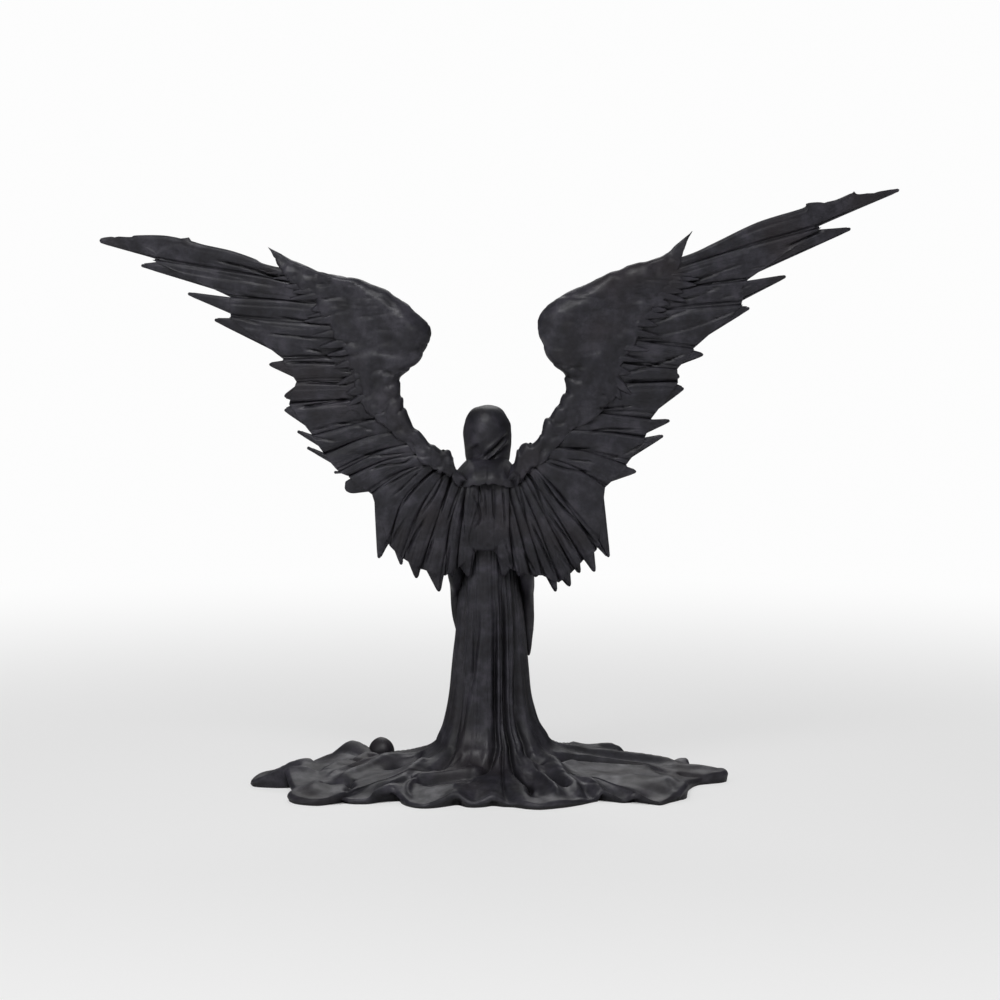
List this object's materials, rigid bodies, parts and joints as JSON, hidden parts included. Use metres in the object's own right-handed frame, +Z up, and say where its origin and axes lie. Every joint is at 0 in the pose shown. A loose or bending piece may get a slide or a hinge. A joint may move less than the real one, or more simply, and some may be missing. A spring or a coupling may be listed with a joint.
{
  "type": "winged grim reaper figurine",
  "caption": "Hooded, winged reaper figure cast in one with its robe, which spreads into a pool of cloth that serves as the base; hands folded in front, wings raised.",
  "frame": {"origin": "on the flat underside, on the upright axis of the robe", "axes": "+Z up, the figure looks along -Y, and +X is the figure's own left, so the wings spread along X"},
  "size_m": [0.3691, 0.1377, 0.2789],
  "materials": {
    "black_resin": "satin black cast resin"
  },
  "bodies": {
    "root": {"winged_reaper": "black_resin"}
  },
  "joints": []
}
